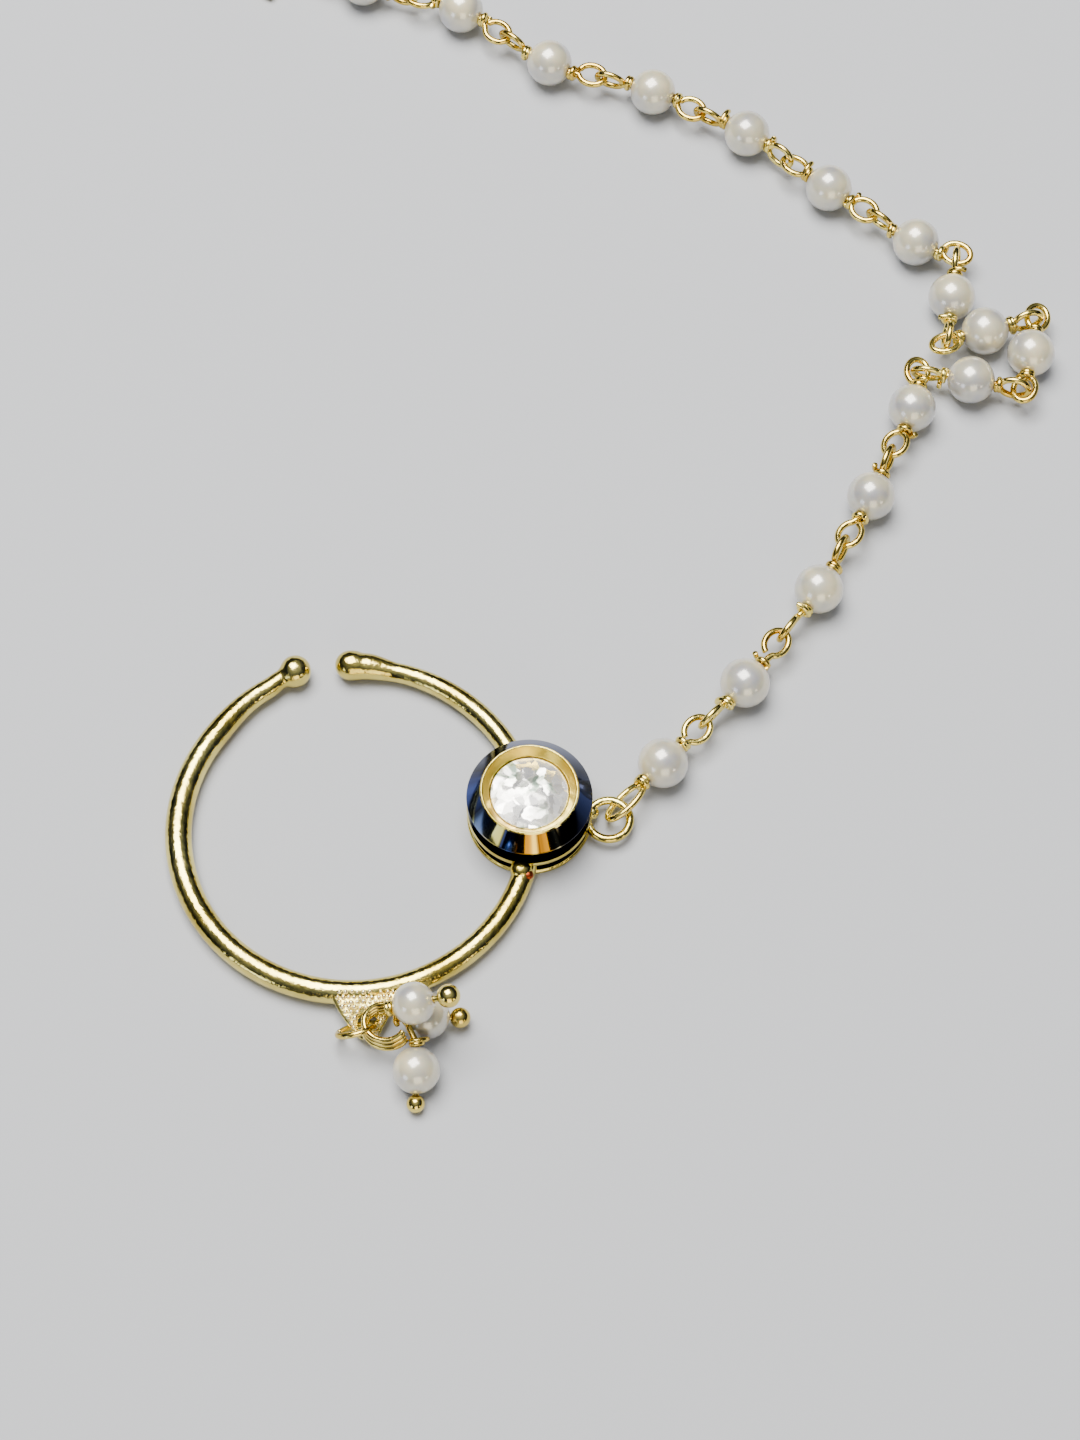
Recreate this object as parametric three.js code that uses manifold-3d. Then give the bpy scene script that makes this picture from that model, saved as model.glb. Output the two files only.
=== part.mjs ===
// Nath: a gold-plated hoop nose ring with a stone set in a cup, a leaf that carries three pearl drops,
// and a chain of wired pearls that ends in a hair hook. Millimetres, +Z up, lying as it rests.
// Everything is laid out from the hoop's centre; the last lines put the origin under the middle of the whole.

import * as THREE from "three";
import { mergeVertices } from "three/addons/utils/BufferGeometryUtils.js";
import Module from "manifold-3d";

const wasm = await Module();
wasm.setup();

// Hoop wire, section by section from its right end round to its left end. "reach" is the distance of the
// wire's centre from the hoop's centre, "height" that centre's height, "wire" the wire's radius there.
const HOOP_SECTIONS = [
  { angle: 93, reach: 14.2, height: 1.22, wire: 1.15 },
  { angle: 88, reach: 14.12, height: 1.18, wire: 1.08 },
  { angle: 77, reach: 13.95, height: 1.05, wire: 0.8 },
  { angle: 45, reach: 13.85, height: 1.05, wire: 0.86 },
  { angle: -60, reach: 13.85, height: 1.05, wire: 0.92 },
  { angle: -130, reach: 13.85, height: 1.05, wire: 1.0 },
  { angle: -180, reach: 13.85, height: 1.05, wire: 1.05 },
  { angle: -215, reach: 13.85, height: 1.05, wire: 1.0 },
  { angle: -238, reach: 14.15, height: 1.12, wire: 0.82 },
  { angle: -249.2, reach: 14.55, height: 1.3, wire: 0.72 },
];
const RIGHT_BALL = 1.22;
const LEFT_BALL = 1.3;

// Cup: a turned drum with a bevelled bezel, standing on the hoop's right side.
const CUP = { x: 13.73, y: 1.36, base: 4.95, wall: 4.8, rim: 3.77, height: 5.28, floor: 3.4 };
const SEAT = { mouth: 3.66, foot: 3.15, depth: 0.68 };
const STONE = { radius: 3.05, foot: 3.75, girdle: 4.5, crown: 5.0 };
const FOIL = { radius: 3.05, foot: 3.48, thick: 0.15 };

// Small closed ring soldered low on the cup for the chain.
const SIDE_RING = { x: 19.96, y: 0.62, z: 1.1, radius: 1.67, wire: 0.335 };

// Leaf: a tapered plate with an eye at its lower end. It tilts up from the eye to the top of the hoop.
const LEAF = { bottom: 0.55, thick: 0.7, tilt: 12, eyeX: 1.38, eyeY: -16.32, eyeHole: 0.78, eyeOuter: 1.22 };
const JUMP_RING = { x: 0.3, y: -16.98, heading: 17, lean: 26, radius: 1.5, wire: 0.25 };

// Pearls and the wire that carries them.
const PEARL_RADIUS = 2.0;
const DROP_PEARL_RADIUS = 1.8;
const DRILL_RADIUS = 0.38;
const WIRE_RADIUS = 0.25;
const DROP_WIRE_RADIUS = 0.19;
const NECK = 0.45;            // least length of wire between a pearl and its eye
const EYE = { long: 1.2, wide: 0.92 };
const FIRST_EYE = { long: 1.9, wide: 1.0 };
const EYE_SLACK = 0.85;       // how far short of the meeting point an eye's centre stops
const FLAT_ROLL = 12;         // degrees from level of an eye that lies
const UPRIGHT_ROLL = 80;      // and of one that stands

// Chain pearls in order from the cup. "far" tells how the eye towards the next pearl is turned; the eye that
// it is linked with is turned the other way.
const CHAIN = [
  { x: 24.27, y: 5.13, far: FLAT_ROLL },
  { x: 30.97, y: 12.21, far: FLAT_ROLL },
  { x: 37.24, y: 20.78, far: UPRIGHT_ROLL },
  { x: 41.9, y: 29.52, far: UPRIGHT_ROLL },
  { x: 45.75, y: 38.05, far: FLAT_ROLL },
  { x: 50.88, y: 40.82, far: UPRIGHT_ROLL },
  { x: 56.13, y: 43.52, far: FLAT_ROLL },
  { x: 52.38, y: 45.73, far: FLAT_ROLL },
  { x: 49.78, y: 49.19, far: UPRIGHT_ROLL },
  { x: 47.01, y: 54.87, far: UPRIGHT_ROLL },
  { x: 39.74, y: 60.56, far: FLAT_ROLL },
  { x: 32.77, y: 66.41, far: UPRIGHT_ROLL },
  { x: 24.57, y: 70.94, far: UPRIGHT_ROLL },
  { x: 15.4, y: 74.15, far: UPRIGHT_ROLL },
  { x: 7.44, y: 80.1, far: FLAT_ROLL },
  { x: -1.47, y: 83.18, far: FLAT_ROLL },
];
// Where two eyes meet when it isn't midway between their pearls: the chain doubles back here.
const FOLD_MEETINGS = [
  { after: 5, x: 46.4, y: 41.65 },
  { after: 6, x: 55.3, y: 39.85 },
  { after: 7, x: 56.9, y: 47.0 },
  { after: 8, x: 49.0, y: 44.5 },
  { after: 9, x: 50.5, y: 53.65 },
];

// Hair hook at the free end: an upright eye, a shank and a flat bend.
const HOOK = { heading: 150, wire: 0.5, lift: 0.03, eye: 1.25, reach: 0.65, shank: 6.5, bend: 1.9, back: 4.6, flare: 0.7 };

// Drops: pearl, ball below it and eye above it. "turn" is the heading of the eye's plane, "tip" how far that
// plane's long axis dips, "roll" how far the plane is turned about that axis.
const DROPS = [
  {
    name: "a", pearl: [5.09, -16.36, 5.35], ball: [7.72, -16.1, 6.2], ballRadius: 0.9,
    eye: { at: [2.75, -16.3, 3.74], turn: 168, tip: -64, roll: 0, long: 1.05, wide: 0.97 },
  },
  {
    name: "b", pearl: [5.9, -16.02, 1.8], ball: [8.46, -15.88, 1.0], ballRadius: 0.8,
    eye: { at: [2.73, -16.2, 2.42], turn: 143, tip: 0, roll: 82, long: 1.0, wide: 0.95 },
  },
  {
    name: "c", pearl: [5.22, -20.38, 1.8], ball: [5.18, -22.7, 0.8], ballRadius: 0.7,
    eye: { at: [2.94, -17.22, 2.35], turn: 160, tip: -11, roll: -12, long: 1.87, wide: 1.05 },
  },
];

const GOLD = { color: "#d9b45c", roughness: 0.22, metalness: 1.0 };
const PEARL = { color: "#ece8e2", roughness: 0.3, metalness: 0.0 };
const SILVER = { color: "#d8dad6", roughness: 0.2, metalness: 1.0 };
const GLASS = { color: "#f2f4f0", roughness: 0.05, metalness: 0.0 };

const radians = THREE.MathUtils.degToRad;
const vector = (values) => new THREE.Vector3(...values);

/** A named mesh with a material of its own. */
function piece(name, geometry, finish) {
  const mesh = new THREE.Mesh(geometry, new THREE.MeshStandardMaterial(finish));
  mesh.name = name;
  return mesh;
}

/** A regular polygon, the section of a round wire. */
function roundSection(radius, sides) {
  const corners = Array.from({ length: sides }, (_, k) => {
    const turn = (2 * Math.PI * k) / sides;
    return new THREE.Vector2(radius * Math.cos(turn), radius * Math.sin(turn));
  });
  return new THREE.Shape(corners);
}

/** A wire of one radius along a curve, with flat ends. */
function wireAlong(path, radius, sides, step) {
  const steps = Math.round(path.getLength() / step);
  return new THREE.ExtrudeGeometry(roundSection(radius, sides), { steps, bevelEnabled: false, extrudePath: path });
}

/** A geometry as a solid that can be joined to others. */
function solidOf(geometry) {
  const bare = geometry.clone();
  bare.deleteAttribute("normal");
  bare.deleteAttribute("uv");
  const merged = mergeVertices(bare, 1e-4);
  const corners = merged.index.array;
  const triVerts = [];
  for (let k = 0; k < corners.length; k += 3) {
    const [a, b, c] = corners.slice(k, k + 3);
    if (a !== b && b !== c && c !== a) triVerts.push(a, b, c);
  }
  const vertProperties = merged.attributes.position.array;
  return new wasm.Manifold(new wasm.Mesh({ numProp: 3, vertProperties, triVerts: Uint32Array.from(triVerts) }));
}

/** Several overlapping geometries soldered into one. */
function soldered(geometries) {
  const whole = geometries.map(solidOf).reduce((sum, next) => sum.add(next));
  const { vertProperties, triVerts } = whole.getMesh();
  const geometry = new THREE.BufferGeometry();
  geometry.setAttribute("position", new THREE.BufferAttribute(vertProperties, 3));
  geometry.setIndex(new THREE.BufferAttribute(triVerts, 1));
  geometry.computeVertexNormals();
  return geometry;
}

/** The hoop's section at an angle, smoothly between the rows of its table. */
function hoopSection(angle) {
  const last = HOOP_SECTIONS.length - 1;
  let k = 0;
  while (k < last - 1 && angle < HOOP_SECTIONS[k + 1].angle) k += 1;
  const [a, b] = [HOOP_SECTIONS[k], HOOP_SECTIONS[k + 1]];
  const part = THREE.MathUtils.smoothstep(a.angle - angle, 0, a.angle - b.angle);
  const mix = (key) => THREE.MathUtils.lerp(a[key], b[key], part);
  return { reach: mix("reach"), height: mix("height"), wire: mix("wire") };
}

/** The hoop's centre line, from its right end clockwise to its left end. */
class HoopLine extends THREE.Curve {
  getPoint(part, target = new THREE.Vector3()) {
    const first = HOOP_SECTIONS[0].angle;
    const angle = THREE.MathUtils.lerp(first, HOOP_SECTIONS.at(-1).angle, part);
    const { reach, height } = hoopSection(angle);
    return target.set(reach * Math.cos(radians(angle)), reach * Math.sin(radians(angle)), height);
  }
}

/** The hoop wire: an even tube whose points are drawn in or out to the table's wire radius. */
function hoopWire() {
  const geometry = wireAlong(new HoopLine(), 1, 10, 1.6);
  const points = geometry.attributes.position;
  for (let k = 0; k < points.count; k += 1) {
    const point = new THREE.Vector3().fromBufferAttribute(points, k);
    const plain = THREE.MathUtils.radToDeg(Math.atan2(point.y, point.x));
    const angle = plain > 100 ? plain - 360 : plain;
    const { reach, height, wire } = hoopSection(angle);
    const centre = new THREE.Vector3(reach * Math.cos(radians(angle)), reach * Math.sin(radians(angle)), height);
    point.sub(centre).multiplyScalar(wire).add(centre);
    points.setXYZ(k, point.x, point.y, point.z);
  }
  return geometry;
}

/** A ball end, at the first or last section of the hoop. */
function hoopBall(section, radius) {
  const { angle, reach } = section;
  const at = [reach * Math.cos(radians(angle)), reach * Math.sin(radians(angle)), radius];
  return new THREE.SphereGeometry(radius, 12, 8).translate(...at);
}

/** A profile of [radius, height] pairs turned about an upright axis at x, y. */
function turned(profile, segments, x, y) {
  const points = profile.map(([radius, height]) => new THREE.Vector2(radius, height));
  return new THREE.LatheGeometry(points, segments).rotateX(Math.PI / 2).translate(x, y, 0);
}

/** The cup, solid below its floor and open above the stone. */
function cup() {
  const seat = CUP.height - SEAT.depth;
  const profile = [
    [0, 0], [CUP.base, 0], [CUP.base, 0.3], [CUP.wall, 0.42],
    [CUP.wall, 1.45], [CUP.base, 1.6], [CUP.base, 1.82], [CUP.wall + 0.08, 1.95],
    [CUP.wall + 0.08, 3.65], [CUP.base, 3.85], [CUP.rim + 0.06, CUP.height - 0.08], [CUP.rim - 0.04, CUP.height],
    [SEAT.mouth, CUP.height - 0.03], [SEAT.foot, seat], [SEAT.foot, CUP.floor], [0, CUP.floor],
  ];
  return turned(profile, 28, CUP.x, CUP.y);
}

/** A lump of solder where the hoop or the side ring meets the cup. */
function solderBead(x, y, z, radius) {
  return new THREE.SphereGeometry(radius, 10, 8).scale(1, 1, 0.8).translate(x, y, z);
}

/** The leaf: straight along the hoop, drawn in to a round end with the eye in it. */
function leaf() {
  const { eyeX, eyeY, eyeHole, eyeOuter } = LEAF;
  const outline = new THREE.Shape();
  const [left, right] = [radians(200), radians(345)];
  outline.moveTo(-1.42, -14.15);
  outline.quadraticCurveTo(-0.7, -15.7, eyeX + eyeOuter * Math.cos(left), eyeY + eyeOuter * Math.sin(left));
  outline.absarc(eyeX, eyeY, eyeOuter, left, right, false);
  outline.quadraticCurveTo(3.4, -15.2, 4.1, -13.7);
  outline.lineTo(2.0, -14.0);
  outline.closePath();
  const eye = new THREE.Path().absarc(eyeX, eyeY, eyeHole, 0, 2 * Math.PI, true);
  outline.holes.push(eye);
  const options = { depth: LEAF.thick, bevelEnabled: false, curveSegments: 8 };
  const plate = new THREE.ExtrudeGeometry(outline, options).translate(0, -eyeY, 0);
  return plate.rotateX(radians(LEAF.tilt)).translate(0, eyeY, LEAF.bottom);
}

/** Hoop, ball ends, cup, side ring, leaf and solder as the one soldered piece they are. */
function noseRing() {
  const { x, y, z, radius, wire } = SIDE_RING;
  const sideRing = new THREE.TorusGeometry(radius, wire, 6, 18).translate(x, y, z);
  return soldered([
    hoopWire(),
    hoopBall(HOOP_SECTIONS[0], RIGHT_BALL),
    hoopBall(HOOP_SECTIONS.at(-1), LEFT_BALL),
    cup(),
    sideRing,
    leaf(),
    solderBead(13.1, -3.8, 1.5, 0.9),
    solderBead(11.9, 6.1, 1.0, 1.1),
    solderBead(18.6, 1.3, 1.0, 0.6),
  ]);
}

/** A thin round sheet under the stone. */
function foil() {
  const top = FOIL.foot + FOIL.thick;
  return turned([[0, FOIL.foot], [FOIL.radius, FOIL.foot], [FOIL.radius, top], [0, top]], 24, CUP.x, CUP.y);
}

/** The round stone: flat back, short girdle, low faceted crown. */
function stone() {
  const { radius, foot, girdle, crown } = STONE;
  const profile = [
    [0, foot], [radius - 0.25, foot], [radius, foot + 0.2], [radius, girdle], [radius * 0.68, crown - 0.08], [0, crown],
  ];
  return turned(profile, 16, CUP.x, CUP.y);
}

/** A round pearl drilled through along an axis. */
function drilledPearl(centre, axis, radius) {
  const drillEnd = Math.asin(DRILL_RADIUS / radius);
  const arc = Array.from({ length: 7 }, (_, k) => {
    const turn = THREE.MathUtils.lerp(-Math.PI / 2 + drillEnd, Math.PI / 2 - drillEnd, k / 6);
    return new THREE.Vector2(radius * Math.cos(turn), radius * Math.sin(turn));
  });
  const geometry = new THREE.LatheGeometry([...arc, arc[0].clone()], 12);
  const turn = new THREE.Quaternion().setFromUnitVectors(new THREE.Vector3(0, 1, 0), axis);
  return geometry.applyQuaternion(turn).translate(centre.x, centre.y, centre.z);
}

/** The line across an eye whose long axis is "along", rolled from level about that axis. */
function acrossEye(along, roll) {
  const level = new THREE.Vector3(0, 0, 1).cross(along).normalize();
  return level.applyAxisAngle(along, radians(roll));
}

/** Points round an eye from beside its neck to its tail. The neck comes in from behind "along". */
function eyePoints(centre, along, across, { long, wide }) {
  const [start, end, count] = [215, 502, 12];
  return Array.from({ length: count }, (_, k) => {
    const turn = radians(THREE.MathUtils.lerp(start, end, k / (count - 1)));
    const point = centre.clone().addScaledVector(along, long * Math.cos(turn));
    return point.addScaledVector(across, wide * Math.sin(turn));
  });
}

/** The points of one end of a pin: the neck outside the pearl, then the eye. */
function neckAndEye(pearl, axis, radius, eye) {
  const out = pearl.clone().addScaledVector(axis, radius + 0.05);
  return [out, ...eyePoints(eye.centre, eye.along, eye.across, eye)];
}

/** Where the eyes of pearl k and the next one meet, counting from zero; -1 is the side ring. */
function meetingAfter(k) {
  if (k < 0) return new THREE.Vector3(SIDE_RING.x + 1.15, SIDE_RING.y + 1.2, SIDE_RING.z + 0.3);
  const fold = FOLD_MEETINGS.find(({ after }) => after === k + 1);
  if (fold) return new THREE.Vector3(fold.x, fold.y, PEARL_RADIUS);
  const here = CHAIN[k];
  const next = CHAIN[k + 1] ?? { x: here.x - 7.6, y: here.y + 3.6 };
  return new THREE.Vector3((here.x + next.x) / 2, (here.y + next.y) / 2, PEARL_RADIUS);
}

/** One eye of a chain pin: it reaches from its pearl towards the meeting point. */
function chainEye(pearl, meeting, roll, size) {
  const along = meeting.clone().sub(pearl).normalize();
  const nearest = PEARL_RADIUS + NECK + size.long;
  const distance = Math.max(nearest, meeting.distanceTo(pearl) - EYE_SLACK);
  const centre = pearl.clone().addScaledVector(along, distance);
  return { centre, along, across: acrossEye(along, roll), ...size };
}

/** Pearl k of the chain and the wire pin through it. */
function chainUnit(k) {
  const row = CHAIN[k];
  const pearl = new THREE.Vector3(row.x, row.y, PEARL_RADIUS);
  const [before, after] = [meetingAfter(k - 1), meetingAfter(k)];
  const roll = k > 0 && CHAIN[k - 1].far === FLAT_ROLL ? UPRIGHT_ROLL : FLAT_ROLL;
  const near = chainEye(pearl, before, k > 0 ? roll : 68, k > 0 ? EYE : FIRST_EYE);
  const far = chainEye(pearl, after, row.far, EYE);
  const axis = after.clone().sub(before).setZ(0).normalize();
  const path = new THREE.CatmullRomCurve3([
    ...neckAndEye(pearl, axis.clone().negate(), PEARL_RADIUS, near).reverse(),
    pearl,
    ...neckAndEye(pearl, axis, PEARL_RADIUS, far),
  ]);
  const number = String(k + 1).padStart(2, "0");
  return [
    piece(`chain_pearl_${number}`, drilledPearl(pearl, axis, PEARL_RADIUS), PEARL),
    piece(`chain_pin_${number}`, wireAlong(path, WIRE_RADIUS, 6, 0.6), GOLD),
  ];
}

/** A drop: its pearl, and its head pin from ball to eye. */
function dropUnit({ name, pearl: at, ball, ballRadius, eye }) {
  const pearl = vector(at);
  const head = vector(ball);
  const axis = pearl.clone().sub(head).normalize();
  const level = Math.cos(radians(eye.tip));
  const along = new THREE.Vector3(
    level * Math.cos(radians(eye.turn)),
    level * Math.sin(radians(eye.turn)),
    Math.sin(radians(eye.tip)),
  );
  const bend = { centre: vector(eye.at), along, across: acrossEye(along, eye.roll), long: eye.long, wide: eye.wide };
  const path = new THREE.CatmullRomCurve3([head, pearl, ...neckAndEye(pearl, axis, DROP_PEARL_RADIUS, bend)]);
  const ballSolid = new THREE.SphereGeometry(ballRadius, 10, 8).translate(...ball);
  return [
    piece(`drop_pearl_${name}`, drilledPearl(pearl, axis, DROP_PEARL_RADIUS), PEARL),
    piece(`drop_pin_${name}`, soldered([ballSolid, wireAlong(path, DROP_WIRE_RADIUS, 6, 0.5)]), GOLD),
  ];
}

/** The round ring through the leaf's eye, leaning as it lies. */
function jumpRing() {
  const { x, y, heading, lean, radius, wire } = JUMP_RING;
  const geometry = new THREE.TorusGeometry(radius, wire, 6, 20).rotateX(Math.PI / 2 + radians(lean));
  const height = radius * Math.cos(radians(lean)) + wire;
  return geometry.rotateZ(radians(heading)).translate(x, y, height);
}

/** The hair hook: an upright eye that holds the last pearl's eye, then a flat shank, bend and flared tip. */
function hairHook() {
  const { heading, wire, eye, shank, bend, back, flare } = HOOK;
  const eyeRound = Array.from({ length: 9 }, (_, k) => {
    const turn = radians(THREE.MathUtils.lerp(20, 270, k / 8));
    return [eye * Math.cos(turn), 0, eye + eye * Math.sin(turn)];
  });
  const bendRound = [0, 45, 90, 135, 180].map((turn) => [
    shank + bend * Math.sin(radians(turn)), bend - bend * Math.cos(radians(turn)), 0,
  ]);
  const tip = [[shank - back * 0.5, 2 * bend, 0], [shank - back, 2 * bend + flare, 0]];
  const path = new THREE.CatmullRomCurve3([...eyeRound, [1.5, 0, 0], ...bendRound, ...tip].map(vector));
  const end = meetingAfter(CHAIN.length - 1);
  const geometry = wireAlong(path, wire, 8, 0.8).translate(HOOK.reach, 0, wire + HOOK.lift);
  return geometry.rotateZ(radians(heading)).translate(end.x, end.y, 0);
}

const nath = new THREE.Group();
nath.add(piece("nose_ring", noseRing(), GOLD));
nath.add(piece("foil", foil(), SILVER));
nath.add(piece("stone", stone(), GLASS));
nath.add(piece("jump_ring", jumpRing(), GOLD));
DROPS.forEach((drop) => nath.add(...dropUnit(drop)));
CHAIN.forEach((_, k) => nath.add(...chainUnit(k)));
nath.add(piece("hair_hook", hairHook(), GOLD));

const box = new THREE.Box3().setFromObject(nath);
const middle = box.getCenter(new THREE.Vector3());
nath.position.set(-middle.x, -middle.y, -box.min.z);
const group = new THREE.Group();
group.add(nath);

export default group;
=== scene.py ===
import bpy
import numpy as np
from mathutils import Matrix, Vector


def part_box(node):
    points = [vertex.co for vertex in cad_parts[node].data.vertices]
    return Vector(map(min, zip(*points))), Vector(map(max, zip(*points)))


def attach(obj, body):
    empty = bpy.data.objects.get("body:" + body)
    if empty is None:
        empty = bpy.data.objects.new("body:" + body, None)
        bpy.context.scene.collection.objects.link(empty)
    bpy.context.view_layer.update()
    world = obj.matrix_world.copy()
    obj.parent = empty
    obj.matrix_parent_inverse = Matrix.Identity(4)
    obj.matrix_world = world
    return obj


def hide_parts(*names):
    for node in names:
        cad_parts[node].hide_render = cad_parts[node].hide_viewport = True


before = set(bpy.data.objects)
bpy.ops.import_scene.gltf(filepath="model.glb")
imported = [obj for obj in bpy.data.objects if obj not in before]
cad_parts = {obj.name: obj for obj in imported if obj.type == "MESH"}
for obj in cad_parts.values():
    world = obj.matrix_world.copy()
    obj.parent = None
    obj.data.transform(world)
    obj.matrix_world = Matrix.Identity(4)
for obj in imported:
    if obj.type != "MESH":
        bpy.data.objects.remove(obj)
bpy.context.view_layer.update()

MM = 0.001
CUP_FROM_HOOP = np.array([13.73, 1.36])       # the cup's axis from the hoop's centre, mm
stone_low, stone_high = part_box("stone")
stone_middle = np.array((stone_low + stone_high) / 2) / MM
HOOP_CENTRE = np.append(stone_middle[:2] - CUP_FROM_HOOP, 0.0)


def linear(hex_colour):
    """An sRGB hex colour as the linear values that shaders take."""
    parts = np.array([int(hex_colour[k:k + 2], 16) for k in (1, 3, 5)]) / 255
    parts = np.where(parts <= 0.04045, parts / 12.92, ((parts + 0.055) / 1.055) ** 2.4)
    return (*parts, 1.0)


def add_node(tree, kind, settings=None, values=None, links=None, stops=()):
    """A shader node with its settings, its fixed input values and the sockets that feed it. A colour ramp
    also takes its stops: (place, hex colour) pairs in order."""
    made = tree.nodes.new(kind)
    for key, value in (settings or {}).items():
        setattr(made, key, value)
    for key, value in (values or {}).items():
        made.inputs[key].default_value = value
    for key, socket in (links or {}).items():
        tree.links.new(socket, made.inputs[key])
    for k, (place, colour) in enumerate(stops):
        stop = made.color_ramp.elements[k] if k < 2 else made.color_ramp.elements.new(place)
        stop.position, stop.color = place, linear(colour)
    return made


def new_material(name, **values):
    """A material with one Principled shader, its fixed values set: underscores in their names are spaces."""
    material = bpy.data.materials.new(name)
    material.use_nodes = True
    shader = material.node_tree.nodes["Principled BSDF"]
    for key, value in values.items():
        shader.inputs[key.replace("_", " ")].default_value = value
    return material, material.node_tree, shader


def mesh_piece(name, parts, materials, smooth=True):
    """One mesh object from (points, faces, material number) parts. Points are in millimetres about the hoop's
    centre. Faces are rows of four point numbers, with -1 last in a triangle."""
    starts = np.cumsum([0] + [len(points) for points, _, _ in parts])
    points = np.concatenate([points for points, _, _ in parts])
    faces = np.concatenate([
        np.where(rows < 0, -1, rows + start) for (_, rows, _), start in zip(parts, starts)])
    finish = np.concatenate([np.full(len(rows), 0) + kind for _, rows, kind in parts])
    corners = faces[faces >= 0]
    sides = (faces >= 0).sum(1)
    mesh = bpy.data.meshes.new(name)
    mesh.vertices.add(len(points))
    mesh.vertices.foreach_set("co", ((points + HOOP_CENTRE) * MM).ravel())
    mesh.loops.add(len(corners))
    mesh.loops.foreach_set("vertex_index", corners.astype(np.int32))
    mesh.polygons.add(len(faces))
    mesh.polygons.foreach_set("loop_start", (np.cumsum(sides) - sides).astype(np.int32))
    mesh.polygons.foreach_set("use_smooth", np.full(len(faces), smooth))
    for material in materials:
        mesh.materials.append(material)
    mesh.polygons.foreach_set("material_index", finish.astype(np.int32))
    mesh.update(calc_edges=True)
    mesh.validate()
    piece = bpy.data.objects.new(name, mesh)
    bpy.context.scene.collection.objects.link(piece)
    return piece


def on_ring(piece, slot, *nodes):
    """The piece moves with the whole nath and stands for these CAD nodes, which are hidden. Its slot is not
    used.
    """
    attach(piece, "root")
    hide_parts(*nodes)
    return piece


CAMERA_FROM_HOOP = np.array([14.55, -96.16, 216.47])
CAMERA_DIP = np.radians(63.9)                 # how steeply it looks down
camera = bpy.data.objects.new("camera", bpy.data.cameras.new("camera"))
camera.data.lens = 75
camera.data.sensor_width = 36
camera.location = (CAMERA_FROM_HOOP + HOOP_CENTRE) * MM
camera.rotation_euler = (np.pi / 2 - CAMERA_DIP, 0, 0)
bpy.context.scene.collection.objects.link(camera)
bpy.context.scene.camera = camera


def soft_light(name, place, side, watts, colour):
    """A square area light at a place in metres, facing the nath."""
    lamp = bpy.data.lights.new(name, "AREA")
    lamp.shape = "SQUARE"
    lamp.size = side
    lamp.energy = watts
    lamp.color = linear(colour)[:3]
    light = bpy.data.objects.new(name, lamp)
    light.location = place
    light.rotation_euler = (-Vector(place)).to_track_quat("-Z", "Y").to_euler()
    bpy.context.scene.collection.objects.link(light)


soft_light("overhead_panel", (-0.10, 0.15, 0.62), 0.46, 11.5, "#fffaf0")
soft_light("warm_card", (0.12, -0.75, 0.24), 0.46, 2.3, "#fff0cc")
soft_light("left_card", (-0.58, -0.57, 0.19), 0.26, 0.9, "#e4ecff")
soft_light("right_card", (0.60, -0.56, 0.19), 0.12, 0.3, "#fff2d8")

world = bpy.data.worlds.new("dim_room")
bpy.context.scene.world = world
world.use_nodes = True
room = world.node_tree
direction = add_node(room, "ShaderNodeTexCoord")
height = add_node(room, "ShaderNodeSeparateXYZ", links={"Vector": direction.outputs["Generated"]})
room_colour = add_node(room, "ShaderNodeValToRGB", links={"Fac": height.outputs["Z"]}, stops=[
    (0.0, "#10141f"), (0.45, "#232a3c"), (0.75, "#737a8c"), (1.0, "#d4d8e2")])
room.links.new(room_colour.outputs["Color"], room.nodes["Background"].inputs["Color"])
room.nodes["Background"].inputs["Strength"].default_value = 0.9

# Matt painted board: one pale tone that takes soft shadows and gives no mirror.
table_paint, _, _ = new_material("matt_table_paint", Base_Color=linear("#b4b8c0"), Roughness=0.8)
TABLE_HALF = 1500.0
table_corners = np.array([[-1, -1, 0], [1, -1, 0], [1, 1, 0], [-1, 1, 0]]) * TABLE_HALF
floor = mesh_piece("table_top", [(table_corners, np.array([[0, 1, 2, 3]]), 0)], [table_paint], smooth=False)

# ---- Hoop wire --------------------------------------------------------------------------------------------
# Round brass wire bent to an open circle and gold plated. Its left end is melted to a ball and its right end
# to a longer drop. Plating over hand-drawn wire shows faint dents and rubbed marks.


def skin(grid, closed=False, kind=0):
    """The part made by a grid of points, rows x columns, whose columns close on themselves. Closed rows meet
    too; otherwise the first and the last row are each drawn to one pole point."""
    rows, columns = grid.shape[:2]
    here = np.arange(columns)
    after = (here + 1) % columns
    if closed:
        low = np.arange(rows)[:, None] * columns
        high = (low + columns) % (rows * columns)
        quads = np.stack([low + here, low + after, high + after, high + here], -1).reshape(-1, 4)
        return grid.reshape(-1, 3), quads, kind
    poles = np.stack([grid[0].mean(0), grid[-1].mean(0)])
    points = np.concatenate([grid[1:-1].reshape(-1, 3), poles])
    low = np.arange(rows - 3)[:, None] * columns
    quads = np.stack([low + here, low + after, low + columns + after, low + columns + here], -1)
    blank, last, count = np.full(columns, -1), (rows - 3) * columns, (rows - 2) * columns
    start = np.stack([blank + 1 + count, after, here, blank], -1)
    finish = np.stack([blank + 2 + count, last + here, last + after, blank], -1)
    return points, np.concatenate([quads.reshape(-1, 4), start, finish]), kind


TONE_SIZE, RUB_SIZE, RUB_DULLS = 4.5, 1.1, 0.16    # mm, mm and how much roughness a rub adds


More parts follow.
